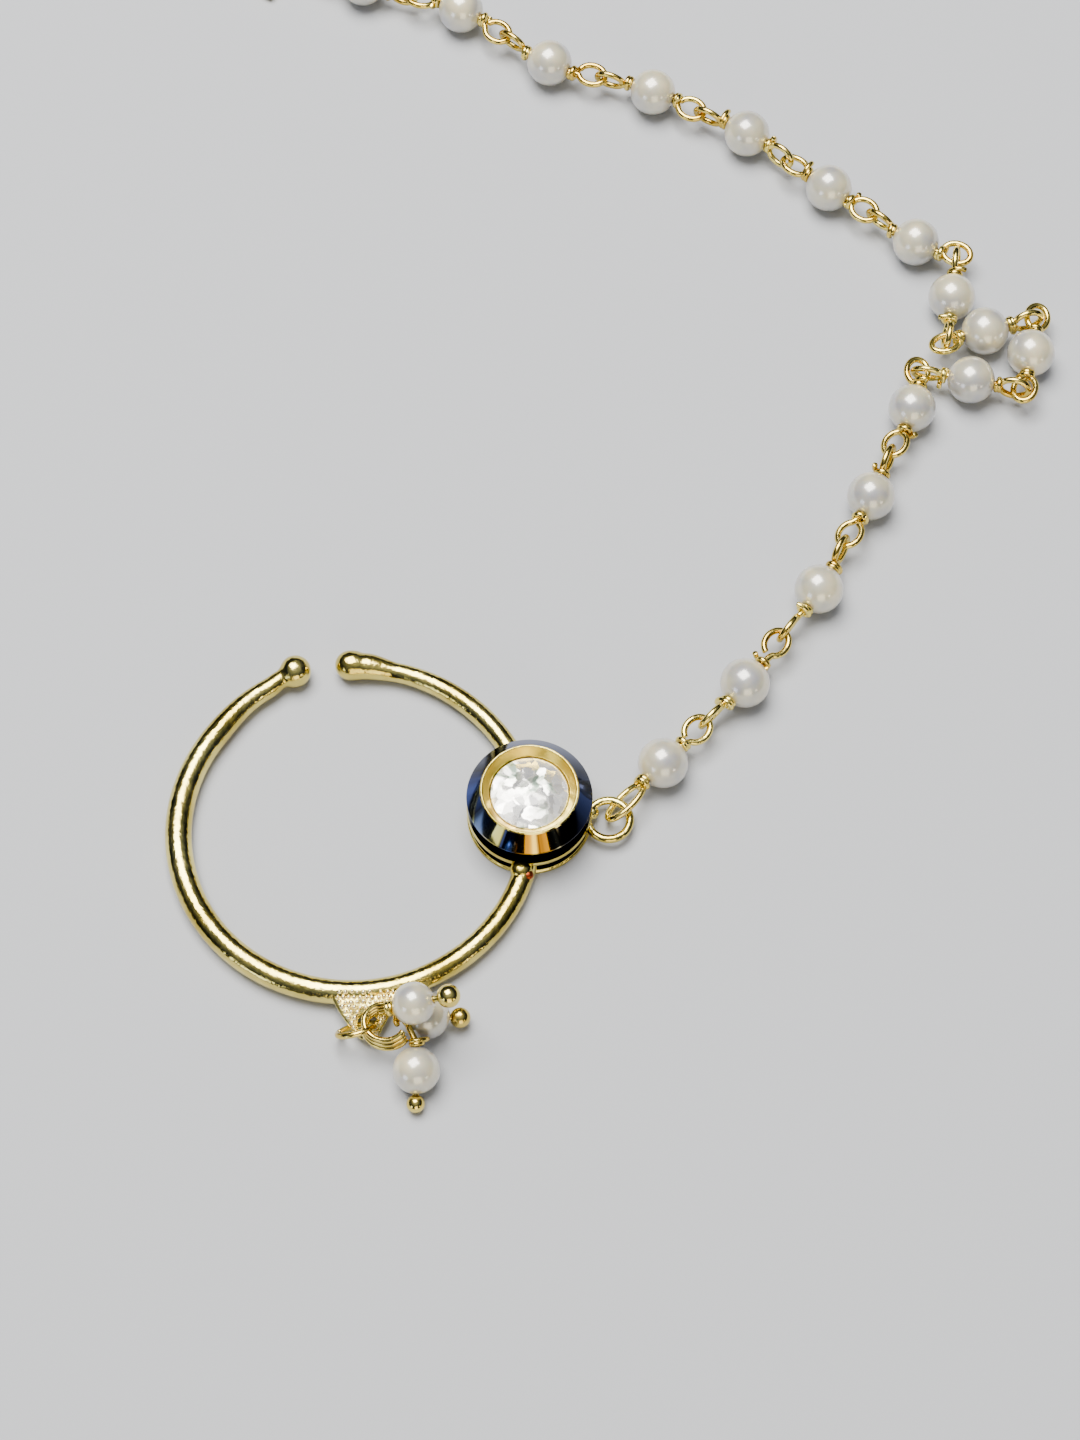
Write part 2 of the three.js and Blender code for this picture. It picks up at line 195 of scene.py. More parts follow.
def gold_finish(name, high, low, roughness, dent_size, dent_height):
    """Plated metal: slow changes between two tones, rubbed patches that are duller, and shallow dents of a
    width and depth in millimetres."""
    material, tree, shader = new_material(name, Metallic=1.0)
    place = {"Vector": add_node(tree, "ShaderNodeTexCoord").outputs["Object"]}
    tone = add_node(tree, "ShaderNodeTexNoise", {}, {"Scale": 1 / (TONE_SIZE * MM), "Detail": 3.0}, place)
    colour = add_node(tree, "ShaderNodeValToRGB", links={"Fac": tone.outputs["Fac"]},
                      stops=[(0.35, low), (0.62, high)])
    tree.links.new(colour.outputs["Color"], shader.inputs["Base Color"])
    rub = add_node(tree, "ShaderNodeTexNoise", {}, {"Scale": 1 / (RUB_SIZE * MM), "Detail": 5.0}, place)
    dull = add_node(tree, "ShaderNodeMapRange", links={"Value": rub.outputs["Fac"]}, values={
        "From Min": 0.35, "From Max": 0.75, "To Min": roughness, "To Max": roughness + RUB_DULLS})
    tree.links.new(dull.outputs["Result"], shader.inputs["Roughness"])
    dent = add_node(tree, "ShaderNodeTexNoise", {}, {"Scale": 1 / (dent_size * MM), "Detail": 2.0}, place)
    bump = add_node(tree, "ShaderNodeBump", values={"Strength": 0.8, "Distance": dent_height * MM},
                    links={"Height": dent.outputs["Fac"]})
    tree.links.new(bump.outputs["Normal"], shader.inputs["Normal"])
    return material


# Thin gold plate polished on a drawn wire: bright, with a pale greenish yellow where it is thickest.
gold_plate = gold_finish("gold_plated_brass", "#f0e082", "#c2ac4c", 0.11, 0.5, 0.06)

LEVEL = np.array([0, 0, 1.0])                 # the way square to the table
# angle, distance from the hoop's centre, height and wire radius
HOOP_SECTIONS = np.array([
    [93, 14.2, 1.22, 1.15], [88, 14.12, 1.18, 1.08], [77, 13.95, 1.05, 0.8], [45, 13.85, 1.05, 0.86],
    [-60, 13.85, 1.05, 0.92], [-130, 13.85, 1.05, 1.0], [-180, 13.85, 1.05, 1.05], [-215, 13.85, 1.05, 1.0],
    [-238, 14.15, 1.12, 0.82], [-249.2, 14.55, 1.3, 0.72],
])
RIGHT_BALL, LEFT_BALL = 1.22, 1.3
HOOP_ROWS, END_ROWS, HOOP_SIDES, BLEND = 420, 12, 40, 8


def hoop_wire():
    """The hoop's tube. Angle, distance, height and wire radius go smoothly from row to row of the table. Each
    end is a ball about its row, with radius sqrt(R^2 - s^2) at distance s. Wire w and balls b and c join as
    (w^8 + b^8 + c^8)^(1/8)."""
    first, last = np.radians(HOOP_SECTIONS[0, 0]), np.radians(HOOP_SECTIONS[-1, 0])
    bend = np.linspace(np.pi, np.pi / 2, END_ROWS)
    inner = np.linspace(0, 1, HOOP_ROWS)[1:-1]
    starts = first - np.cos(bend) * RIGHT_BALL / HOOP_SECTIONS[0, 1]
    stops = last + np.cos(bend[::-1]) * LEFT_BALL / HOOP_SECTIONS[-1, 1]
    angle = np.concatenate([starts, first + (last - first) * inner, stops])
    held = np.clip(angle, last, first)
    passed = np.searchsorted(-np.radians(HOOP_SECTIONS[:, 0]), -held, "right")
    row = np.clip(passed - 1, 0, len(HOOP_SECTIONS) - 2)
    above, below = HOOP_SECTIONS[row], HOOP_SECTIONS[row + 1]
    part = (np.radians(above[:, 0]) - held) / np.radians(above[:, 0] - below[:, 0])
    part = (part * part * (3 - 2 * part))[:, None]
    _, reach, height, wire = (above * (1 - part) + below * part).T
    wire = np.where((angle > first) | (angle < last), 0, wire)
    balls = [np.sqrt(np.clip(size ** 2 - ((angle - at) * reach) ** 2, 0, None))
             for at, size in ((first, RIGHT_BALL), (last, LEFT_BALL))]
    radius = (wire ** BLEND + balls[0] ** BLEND + balls[1] ** BLEND) ** (1 / BLEND)
    radius = np.minimum(radius, height)
    line = np.stack([reach * np.cos(angle), reach * np.sin(angle), height], -1)
    across = np.stack([np.cos(angle), np.sin(angle), np.zeros(len(angle))], -1)
    turn = np.linspace(0, 2 * np.pi, HOOP_SIDES, endpoint=False)[None, :, None]
    circle = np.cos(turn) * across[:, None] + np.sin(turn) * LEVEL
    return skin(line[:, None] + radius[:, None, None] * circle)


on_ring(mesh_piece("hoop_wire", [hoop_wire()], [gold_plate]), "gold_plate", "nose_ring")

# ---- Cup for the stone ------------------------------------------------------------------------------------
# A turned and stamped cup, soldered to the hoop. A flat flange and a fine band run round its foot. Its wall,
# the band and the sloping shoulder are polished to a mirror; their dark colour and streaks are painted
# reflections.
# The rim and the stone's seat are plain gold.


def rounded(profile, size):
    """The profile with each inner corner rounded: a short quadratic curve from "size" before it to "size"
    after it, or to a third of the way along a shorter side."""
    corner, before, after = profile[1:-1], profile[:-2], profile[2:]
    back, on = before - corner, after - corner
    length = [np.linalg.norm(side, axis=1, keepdims=True) for side in (back, on)]
    enter = corner + back / length[0] * np.minimum(size, length[0] / 3)
    leave = corner + on / length[1] * np.minimum(size, length[1] / 3)
    part = np.linspace(0, 1, 5)[None, :, None]
    curve = ((1 - part) ** 2 * enter[:, None] + 2 * part * (1 - part) * corner[:, None]
             + part ** 2 * leave[:, None])
    return np.concatenate([profile[:1], curve.reshape(-1, 2), profile[-1:]])


def turned(profile, columns=96):
    """A profile of (radius r, height z) rows turned about the cup's upright axis: (r cos a, r sin a, z)."""
    angle = np.linspace(0, 2 * np.pi, columns, endpoint=False)
    circle = np.stack([np.cos(angle), np.sin(angle), np.zeros(columns)], -1)
    grid = profile[:, 0, None, None] * circle + profile[:, 1, None, None] * LEVEL
    return grid + np.append(CUP_FROM_HOOP, 0)


# radius and height, from the middle of its base up the outside and down to the middle of its floor
CUP_PROFILE = np.array([
    [0, 0], [4.95, 0], [4.95, 0.3], [4.8, 0.42], [4.8, 1.45], [4.95, 1.6], [4.95, 1.82], [4.88, 1.95],
    [4.88, 3.65], [4.95, 3.85], [3.83, 5.2], [3.76, 5.28], [3.66, 5.25], [3.15, 4.6], [3.15, 3.4], [0, 3.4],
])
CUP_EDGE = 0.09
BAND_LOW, BAND_HIGH, DRUM_LOW, DRUM_HIGH, SHOULDER_HIGH = 0.45, 1.45, 2.0, 3.8, 5.16
RIM_RADIUS, SEAT_RADIUS, SEAT_LOW = 3.79, 3.68, 3.3
cup_points, cup_faces, _ = skin(turned(rounded(CUP_PROFILE, CUP_EDGE)))
cup_middle = cup_points[cup_faces[:, :3]].mean(1)
from_axis = np.hypot(*(cup_middle[:, :2] - CUP_FROM_HOOP).T)
cup_height = cup_middle[:, 2]
# The wall, the shoulder and the band at the foot take the painted reflection finishes below.
on_wall = (cup_height > DRUM_LOW) & (cup_height < SHOULDER_HIGH) & (from_axis > RIM_RADIUS)
under_band = (cup_height > BAND_LOW) & (cup_height < BAND_HIGH) & (from_axis > RIM_RADIUS)
on_drum = on_wall & (cup_height < DRUM_HIGH) | under_band
in_seat = (from_axis < SEAT_RADIUS) & (cup_height > SEAT_LOW)
cup_kind = np.where(in_seat, 3, np.where(on_drum, 2, on_wall.astype(int)))

# Polished mirror plating. Round the shoulder its colour, set by bearing about the cup's axis, is painted
# reflection: navy to black, with gold and cream streaks of painted bright reflection. A streak's edge wavers
# by up to STREAK_SWAY of a radian.
STREAK_SWAY = 0.14
shoulder_reflection_paint, mirror_tree, mirror_shader = new_material("mirror_painted_reflections", Metallic=1.0, Roughness=0.07)
mirror_place = add_node(mirror_tree, "ShaderNodeTexCoord").outputs["Object"]
cup_axis = (np.append(CUP_FROM_HOOP, 0) + HOOP_CENTRE) * MM
from_cup = add_node(mirror_tree, "ShaderNodeVectorMath", {"operation": "SUBTRACT"}, {1: cup_axis},
                    {0: mirror_place})
split = add_node(mirror_tree, "ShaderNodeSeparateXYZ", links={"Vector": from_cup.outputs["Vector"]})
bearing = add_node(mirror_tree, "ShaderNodeMath", {"operation": "ARCTAN2"},
                   links={0: split.outputs["Y"], 1: split.outputs["X"]})
streak = add_node(mirror_tree, "ShaderNodeTexNoise", {"noise_dimensions": "1D"},
                  {"Scale": 9.0, "Detail": 3.0}, {"W": bearing.outputs["Value"]})
shifted = add_node(mirror_tree, "ShaderNodeMath", {"operation": "MULTIPLY_ADD"}, {1: STREAK_SWAY},
                   {0: streak.outputs["Fac"], 2: bearing.outputs["Value"]})
whole_turn = add_node(mirror_tree, "ShaderNodeMapRange", links={"Value": shifted.outputs["Value"]},
                      values={"From Min": -np.pi, "From Max": np.pi})
round_cup = {"Fac": whole_turn.outputs["Result"]}
painted_reflection_colour = add_node(mirror_tree, "ShaderNodeValToRGB", links=round_cup, stops=[
    (0.00, "#3a4a86"), (0.075, "#10131f"), (0.115, "#7f98cc"), (0.150, "#a89f58"), (0.178, "#a09448"),
    (0.188, "#0b0e18"), (0.205, "#33509e"), (0.222, "#241a10"), (0.232, "#8a5c04"), (0.262, "#a87808"),
    (0.276, "#f0d060"), (0.288, "#5a3404"), (0.318, "#b8860c"), (0.326, "#0a0a10"), (0.340, "#e2d39a"),
    (0.352, "#090a10"), (0.42, "#0e1120"), (0.50, "#232d52"), (0.58, "#11162a"), (0.66, "#2c375e"),
    (0.76, "#3c4a78"), (0.86, "#333f68"), (0.94, "#0e1326"), (1.0, "#3a4a86"),
])
mirror_tree.links.new(painted_reflection_colour.outputs["Color"], mirror_shader.inputs["Base Color"])

# The same plating on the upright wall and the band at the foot. Its colour is painted navy reflection, near
# black with slow navy clouds, and a dark specular tint keeps its grazing reflection dim.
drum_reflection_paint, drum_tree, drum_shader = new_material("mirror_painted_navy_reflection", Metallic=1.0, Roughness=0.1,
                                                      Specular_Tint=linear("#222844"))
drum_place = add_node(drum_tree, "ShaderNodeTexCoord").outputs["Object"]
drum_reflection_cloud = add_node(drum_tree, "ShaderNodeTexNoise", values={"Scale": 1 / 0.0016, "Detail": 4.0},
                      links={"Vector": drum_place})
drum_painted_reflection = add_node(drum_tree, "ShaderNodeValToRGB", links={"Fac": drum_reflection_cloud.outputs["Fac"]}, stops=[
    (0.35, "#04050e"), (0.60, "#0c0e26"), (0.72, "#20264e")])
drum_tree.links.new(drum_painted_reflection.outputs["Color"], drum_shader.inputs["Base Color"])

# The seat was burnished by hand round the stone: a fuller, softer yellow than the polished plate.
seat_gold = gold_finish("warm_gold_seat", "#ffe866", "#f4cc44", 0.34, 0.5, 0.03)
cup = mesh_piece("stone_cup", [(cup_points, cup_faces, cup_kind)],
                 [gold_plate, shoulder_reflection_paint, drum_reflection_paint, seat_gold])
on_ring(cup, "gold_plate", "nose_ring")

# Silver foil pressed into the cup, creased by hand, to throw light back through the stone.
FOIL_RADIUS, FOIL_LOW, FOIL_HIGH = 3.05, 3.48, 3.63
FOLDS, FOLD_SEED, FOLD_WIDTH, FOLD_DEPTH = 6, 7, 1.7, 0.06


def crease(x, y):
    """How deep the foil's straight folds are: 2 d min |(x cos b + y sin b) / w + s mod 1 - 1/2|, the least of
    several saw waves of width w and depth d, each with its own seeded bearing b and shift s."""
    draw = np.random.default_rng(FOLD_SEED)
    bearing, shift = draw.uniform(0, np.pi, FOLDS), draw.uniform(0, 1, FOLDS)
    run = (x[..., None] * np.cos(bearing) + y[..., None] * np.sin(bearing)) / FOLD_WIDTH + shift
    return FOLD_DEPTH * np.abs(run % 1 - 0.5).min(-1) * 2


# Beaten silver leaf on paper: bright and slightly soft, with a faint green-grey tarnish in patches.
foil_silver, foil_tree, foil_shader = new_material("silver_foil", Metallic=1.0, Roughness=0.18)
foil_place = add_node(foil_tree, "ShaderNodeTexCoord").outputs["Object"]
foil_tone = add_node(foil_tree, "ShaderNodeTexNoise", values={"Scale": 1 / 0.0014, "Detail": 4.0},
                     links={"Vector": foil_place})
foil_colour = add_node(foil_tree, "ShaderNodeValToRGB", links={"Fac": foil_tone.outputs["Fac"]},
                       stops=[(0.35, "#d6dcd6"), (0.6, "#fbfbf6")])
foil_tree.links.new(foil_colour.outputs["Color"], foil_shader.inputs["Base Color"])
foil_steps = np.linspace(0, 1, 22)[:, None] * np.array([[FOIL_RADIUS, 0]])
foil_profile = np.concatenate([foil_steps + [0, FOIL_LOW], foil_steps[::-1] + [0, FOIL_HIGH]])
foil_grid = turned(foil_profile, 64)
on_top = foil_grid[..., 2] > (FOIL_LOW + FOIL_HIGH) / 2
foil_grid[..., 2] -= crease(foil_grid[..., 0], foil_grid[..., 1]) * on_top
on_ring(mesh_piece("silver_foil", [skin(foil_grid)], [foil_silver]), "foil", "foil")

# The stone: flat-backed glass cut by hand with uneven shallow facets. Light off the foil makes it read white
# and silver, with one cool grey-green patch.
STONE_RADIUS, STONE_FOOT, STONE_GIRDLE, STONE_TOP = 3.05, 3.75, 4.5, 5.0
TABLE_FACETS, EDGE_FACETS, EDGE_REACH, TABLE_TILT = 6, 11, 2.9, 0.012
stone_draw = np.random.default_rng(23)


def facet_height(x, y):
    """The stone's top: the lowest of the planes z = t - s (x cos b + y sin b). Six with small slopes s meet
    round the table and eleven steeper ones meet its edge. The table itself has a slight tilt."""
    bearing = np.concatenate([
        np.linspace(0, 2 * np.pi, TABLE_FACETS, endpoint=False) + stone_draw.uniform(-0.3, 0.3, TABLE_FACETS),
        np.linspace(0, 2 * np.pi, EDGE_FACETS, endpoint=False) + stone_draw.uniform(-0.2, 0.2, EDGE_FACETS)])
    slope = np.concatenate([stone_draw.uniform(0.05, 0.11, TABLE_FACETS),
                            stone_draw.uniform(0.2, 0.3, EDGE_FACETS)])
    top = np.concatenate([STONE_TOP + stone_draw.uniform(0.0, 0.06, TABLE_FACETS),
                          STONE_GIRDLE + EDGE_REACH * slope[TABLE_FACETS:]])
    run = x[..., None] * np.cos(bearing) + y[..., None] * np.sin(bearing)
    return np.minimum((top - slope * run).min(-1), STONE_TOP + TABLE_TILT * x)


# radius and height: the flat back, its worn edge and the girdle, then rows across the top to its middle
stone_side = np.array([
    [0, STONE_FOOT], [2.8, STONE_FOOT], [2.95, STONE_FOOT + 0.05], [STONE_RADIUS, STONE_FOOT + 0.2],
    [STONE_RADIUS, STONE_GIRDLE - 0.05],
])
stone_rows = STONE_RADIUS * np.linspace(1, 0, 40)
stone_grid = turned(np.concatenate([
    stone_side, np.stack([stone_rows, np.full(len(stone_rows), STONE_GIRDLE)], -1)]), 110)
stone_top = stone_grid[len(stone_side):]
stone_top[..., 2] = facet_height(stone_top[..., 0] - CUP_FROM_HOOP[0], stone_top[..., 1] - CUP_FROM_HOOP[1])

# Glass with foil close behind it: most of the light comes back through it as off silver, under a clear gloss.
CLOUD_SIZE, CREASE_SIZE, CREASE_WAVER, CREASE_LEAN = 1.6, 0.8, 0.9, 0.36
stone_glass, stone_tree, stone_shader = new_material(
    "foil_backed_glass", Metallic=0.75, IOR=1.52, Coat_Weight=1.0, Coat_Roughness=0.03, Coat_IOR=1.52)
stone_place = add_node(stone_tree, "ShaderNodeTexCoord").outputs["Object"]
cloud = add_node(stone_tree, "ShaderNodeTexNoise", links={"Vector": stone_place}, values={
    "Scale": 1 / (CLOUD_SIZE * MM), "Detail": 5.0, "Distortion": 1.2})
stone_colour = add_node(stone_tree, "ShaderNodeValToRGB", links={"Fac": cloud.outputs["Fac"]}, stops=[
    (0.34, "#7f9186"), (0.41, "#c6cec3"), (0.46, "#f6f7f2"), (0.60, "#ffffff")])
stone_tree.links.new(stone_colour.outputs["Color"], stone_shader.inputs["Base Color"])
stone_dull = add_node(stone_tree, "ShaderNodeMapRange", links={"Value": cloud.outputs["Fac"]},
                      values={"From Min": 0.3, "From Max": 0.7, "To Min": 0.4, "To Max": 0.12})
stone_tree.links.new(stone_dull.outputs["Result"], stone_shader.inputs["Roughness"])
# Creases in the foil show through the stone as small flats with wavering edges. Each cell of a random pattern
# leans the surface its own way, by up to half of CREASE_LEAN.
sway = add_node(stone_tree, "ShaderNodeVectorMath", {"operation": "MULTIPLY_ADD"},
                {1: (CREASE_WAVER * MM,) * 3}, {0: cloud.outputs["Color"], 2: stone_place})
cell = add_node(stone_tree, "ShaderNodeTexVoronoi", {"feature": "F1"}, {"Scale": 1 / (CREASE_SIZE * MM)},
                {"Vector": sway.outputs["Vector"]})
tilt = add_node(stone_tree, "ShaderNodeVectorMath", {"operation": "SUBTRACT"}, {1: (0.5, 0.5, 0.5)},
                {0: cell.outputs["Color"]})
facing = add_node(stone_tree, "ShaderNodeNewGeometry")
leaning = add_node(stone_tree, "ShaderNodeVectorMath", {"operation": "MULTIPLY_ADD"},
                   {1: (CREASE_LEAN, CREASE_LEAN, 0.0)},
                   {0: tilt.outputs["Vector"], 2: facing.outputs["Normal"]})
flat_facing = add_node(stone_tree, "ShaderNodeVectorMath", {"operation": "NORMALIZE"},
                       links={0: leaning.outputs["Vector"]})
stone_tree.links.new(flat_facing.outputs["Vector"], stone_shader.inputs["Normal"])
on_ring(mesh_piece("kundan_stone", [skin(stone_grid)], [stone_glass]), "stone", "stone")

# ---- Side ring, leaf and solder ---------------------------------------------------------------------------
# A small ring soldered flat to the cup takes the chain. Below the hoop a leaf-shaped plate, covered with fine
# gold grains, has the eye for the drops. Solder is left in smooth lumps at the joins, one with a red stain.
SIDE_RING_AT, SIDE_RING_RADIUS, SIDE_RING_WIRE = np.array([19.96, 0.62, 1.1]), 1.67, 0.335


def unit(vectors):
    """The vectors at length one."""
    return vectors / np.linalg.norm(vectors, axis=-1, keepdims=True)


def tube(line, beside, radius, sides=14, closed=False, kind=0):
    """A round wire about a line. At each point the section is radius (cos a N + sin a B), where B is the
    direction "beside" made square to the line, and N is B x T with T along the line. An open wire ends in two
    flat faces with a small round edge."""
    along = unit(np.roll(line, -1, 0) - np.roll(line, 1, 0)) if closed else unit(np.gradient(line, axis=0))
    radius = np.broadcast_to(np.asarray(radius, float), (len(line),))
    beside = np.broadcast_to(np.asarray(beside, float), line.shape)
    if not closed:
        end_width, end_slip = np.array([0.0, 0.7, 0.93, 1.0]), np.array([0.0, 0.0, 0.08, 0.3])
        ends = np.zeros(4, int)
        order = np.concatenate([ends, np.arange(1, len(line) - 1), ends - 1])
        slip = np.concatenate([radius[0] * end_slip, np.zeros(len(line) - 2), -radius[-1] * end_slip[::-1]])
        radius = np.concatenate([radius[0] * end_width, radius[1:-1], radius[-1] * end_width[::-1]])
        line, along, beside = line[order] + along[order] * slip[:, None], along[order], beside[order]
    second = unit(beside - (beside * along).sum(-1, keepdims=True) * along)
    first = np.cross(second, along)
    angle = np.linspace(0, 2 * np.pi, sides, endpoint=False)[None, :, None]
    circle = np.cos(angle) * first[:, None] + np.sin(angle) * second[:, None]
    return skin(line[:, None] + radius[:, None, None] * circle, closed, kind)


def circle_line(centre, first, second, radius, count, start=0.0, stop=2 * np.pi, ends=False):
    """Points centre + radius (cos a first + sin a second) for a from start to stop."""
    angle = np.linspace(start, stop, count, endpoint=ends)[:, None]
    return centre + radius * (np.cos(angle) * first + np.sin(angle) * second)


side_line = circle_line(SIDE_RING_AT, np.array([1.0, 0, 0]), np.array([0, 1.0, 0]), SIDE_RING_RADIUS, 60)
side_ring = tube(side_line, LEVEL, SIDE_RING_WIRE, 16, closed=True)
on_ring(mesh_piece("side_ring", [side_ring], [gold_plate]), "gold_plate", "nose_ring")

LEAF_EYE, LEAF_HOLE, LEAF_OUTER, LEAF_LOW, LEAF_TOP = np.array([1.38, -16.32]), 0.78, 1.22, 0.55, 1.25
quarter = np.linspace(0, 1, 9)[:, None]


def bow(start, pull, stop):
    """A curve from start to stop drawn towards pull: (1 - t)^2 start + 2 t (1 - t) pull + t^2 stop."""
    start, pull, stop = (np.asarray(point, float) for point in (start, pull, stop))
    return (1 - quarter) ** 2 * start + 2 * quarter * (1 - quarter) * pull + quarter ** 2 * stop


arc = np.radians(np.linspace(200, 345, 16))[:, None]
eye_arc = LEAF_EYE + LEAF_OUTER * np.concatenate([np.cos(arc), np.sin(arc)], 1)
leaf_outline = np.concatenate([
    bow((-1.42, -14.15), (-0.7, -15.7), eye_arc[0]), eye_arc[1:-1],
    bow(eye_arc[-1], (3.4, -15.2), (4.1, -13.7)), [[2.0, -14.0]],
])


def leaf_reach(bearing):
    """How far the leaf's edge is from its eye's centre at a bearing, between the points of its outline."""
    away = leaf_outline - LEAF_EYE
    angles = np.unwrap(np.arctan2(away[:, 1], away[:, 0]))
    return np.interp(bearing, angles, np.linalg.norm(away, axis=1), period=2 * np.pi)


leaf_bearing = np.linspace(0, 2 * np.pi, 120, endpoint=False)
# share of the way from hole to edge, step outwards, height: round the plate's section
LEAF_SECTION = np.array([
    [0, 0, LEAF_LOW + 0.1], [0, 0, LEAF_TOP - 0.1], [0, 0.03, LEAF_TOP - 0.03], [0, 0.1, LEAF_TOP],
    [0.35, 0, LEAF_TOP + 0.04], [0.7, 0, LEAF_TOP + 0.04], [1, -0.1, LEAF_TOP], [1, -0.03, LEAF_TOP - 0.03],
    [1, 0, LEAF_TOP - 0.1], [1, 0, LEAF_LOW + 0.1], [1, -0.1, LEAF_LOW], [0, 0.1, LEAF_LOW],
])
share, outwards, leaf_height = (LEAF_SECTION[:, k, None] for k in range(3))
leaf_radius = LEAF_HOLE * (1 - share) + leaf_reach(leaf_bearing)[None, :] * share + outwards
leaf_grid = np.stack([
    LEAF_EYE[0] + leaf_radius * np.cos(leaf_bearing), LEAF_EYE[1] + leaf_radius * np.sin(leaf_bearing),
    np.broadcast_to(leaf_height, leaf_radius.shape)], -1)
leaf_points, leaf_faces, _ = skin(leaf_grid, closed=True)
leaf_faces = leaf_faces[:, ::-1]              # the section runs the other way round, so its faces are turned
LEAF_TILT = np.radians(12)                    # it rises from its eye to the top of the hoop


def tilted(points):
    """The points turned about a level line through the leaf's eye at its underside."""
    pivot = np.array([0, LEAF_EYE[1], LEAF_LOW])
    cosine, sine = np.cos(LEAF_TILT), np.sin(LEAF_TILT)
    return (points - pivot) @ np.array([[1, 0, 0], [0, cosine, sine], [0, -sine, cosine]]) + pivot


def small_ball(rows=5, columns=8):
    """A unit ball: rings of radius sin p at height -cos p between its two poles."""
    lift = np.linspace(0, np.pi, rows + 2)
    turn = np.linspace(0, 2 * np.pi, columns, endpoint=False)
    return skin(np.stack([
        np.sin(lift)[:, None] * np.cos(turn), np.sin(lift)[:, None] * np.sin(turn),
        np.broadcast_to(-np.cos(lift)[:, None], (rows + 2, columns))], -1))


def many(part, places, sizes, kind=0):
    """Copies of a part at several places and sizes, as one part."""
    points, faces, _ = part
    moved = places[:, None] + points[None] * np.asarray(sizes)[:, None, None]
    shift = (np.arange(len(places)) * len(points))[:, None, None]
    return moved.reshape(-1, 3), np.where(faces < 0, -1, faces + shift).reshape(-1, 4), kind


# Grains in a loose triangular pattern over the plate, from GRAIN_INNER beyond its eye's hole to GRAIN_OUTER
# short of its edge. They are a little coarser than the real ones, so that each still shows.
GRAIN_STEP, GRAIN_INNER, GRAIN_OUTER = 0.45, 0.16, 0.1
grain_draw = np.random.default_rng(5)
grain_x, grain_y = np.meshgrid(np.arange(-1.6, 4.6, GRAIN_STEP), np.arange(-17.4, -13.5, GRAIN_STEP * 0.87))
grain_x[::2] += GRAIN_STEP / 2
grains = np.stack([grain_x.ravel(), grain_y.ravel()], 1) + grain_draw.uniform(-0.05, 0.05, (grain_x.size, 2))
grain_away = grains - LEAF_EYE
grain_reach = np.hypot(*grain_away.T)
edge_reach = leaf_reach(np.arctan2(*grain_away.T[::-1]))
grains = grains[(grain_reach > LEAF_HOLE + GRAIN_INNER) & (grain_reach < edge_reach - GRAIN_OUTER)]
grain_size = grain_draw.uniform(0.17, 0.25, len(grains))
grain_places = tilted(np.column_stack([grains, np.full(len(grains), LEAF_TOP + 0.08)]))
# Melted gold grains: smooth and pale, so each throws a bright point.
bright_grain = gold_finish("bright_gold_grain", "#fff3c4", "#f2d98c", 0.10, 0.5, 0.02)
leaf_parts = [(tilted(leaf_points), leaf_faces, 0), many(small_ball(), grain_places, grain_size, 1)]
leaf = mesh_piece("granulated_leaf", leaf_parts, [gold_plate, bright_grain])
on_ring(leaf, "gold_plate", "nose_ring")

# x, y, height and radius of each lump; the last is the flux stain
SOLDER = np.array([
    [13.1, -3.8, 1.5, 0.9], [11.9, 6.1, 1.0, 1.1], [18.6, 1.3, 1.0, 0.6], [13.6, -4.3, 1.6, 0.45],
])
# Copper drawn out of the solder by the flux: a small dull red-brown crust.
flux_stain = gold_finish("copper_flux_stain", "#b4562c", "#7c3018", 0.28, 0.4, 0.05)
lump_points, lump_faces, _ = small_ball(14, 24)
lump = (lump_points * [1, 1, 0.8], lump_faces, 0)
solder = mesh_piece("solder_lumps", [
    many(lump, SOLDER[:3, :3], SOLDER[:3, 3]), many(lump, SOLDER[3:, :3], SOLDER[3:, 3], 1),
], [gold_plate, flux_stain])
on_ring(solder, "gold_plate", "nose_ring")

# ---- Jump ring and drops ----------------------------------------------------------------------------------
# Warm gold wire. A cut ring hangs from the leaf's eye, and three pearls hang from it on ball-ended pins, each
# bent to an eye and wrapped round its own neck. They have fallen in a small heap.
gold_wire = gold_finish("warm_gold_wire", "#f4df7a", "#cfae48", 0.12, 0.5, 0.03)
JUMP_AT, JUMP_RADIUS, JUMP_WIRE = (0.65, -17.05), 1.5, 0.25
JUMP_HEADING, JUMP_LEAN, JUMP_START, JUMP_STOP = np.radians([17, 32, -156, 200])
jump_first = np.array([np.cos(JUMP_HEADING), np.sin(JUMP_HEADING), 0])
jump_second = np.array([np.sin(JUMP_HEADING) * np.sin(JUMP_LEAN), -np.cos(JUMP_HEADING) * np.sin(JUMP_LEAN),
                        np.cos(JUMP_LEAN)])
jump_centre = np.array([*JUMP_AT, JUMP_RADIUS * np.cos(JUMP_LEAN) + JUMP_WIRE])
jump_line = circle_line(jump_centre, jump_first, jump_second, JUMP_RADIUS, 64, JUMP_START, JUMP_STOP, True)
jump = tube(jump_line, np.cross(jump_first, jump_second), JUMP_WIRE)
on_ring(mesh_piece("cut_jump_ring", [jump], [gold_wire]), "gold_wire", "jump_ring")

# how far an eye stands off its pearl, and where on its ellipse the eye's wire begins and ends
NECK, EYE_START, EYE_STOP = 0.45, np.radians(203), np.radians(528)


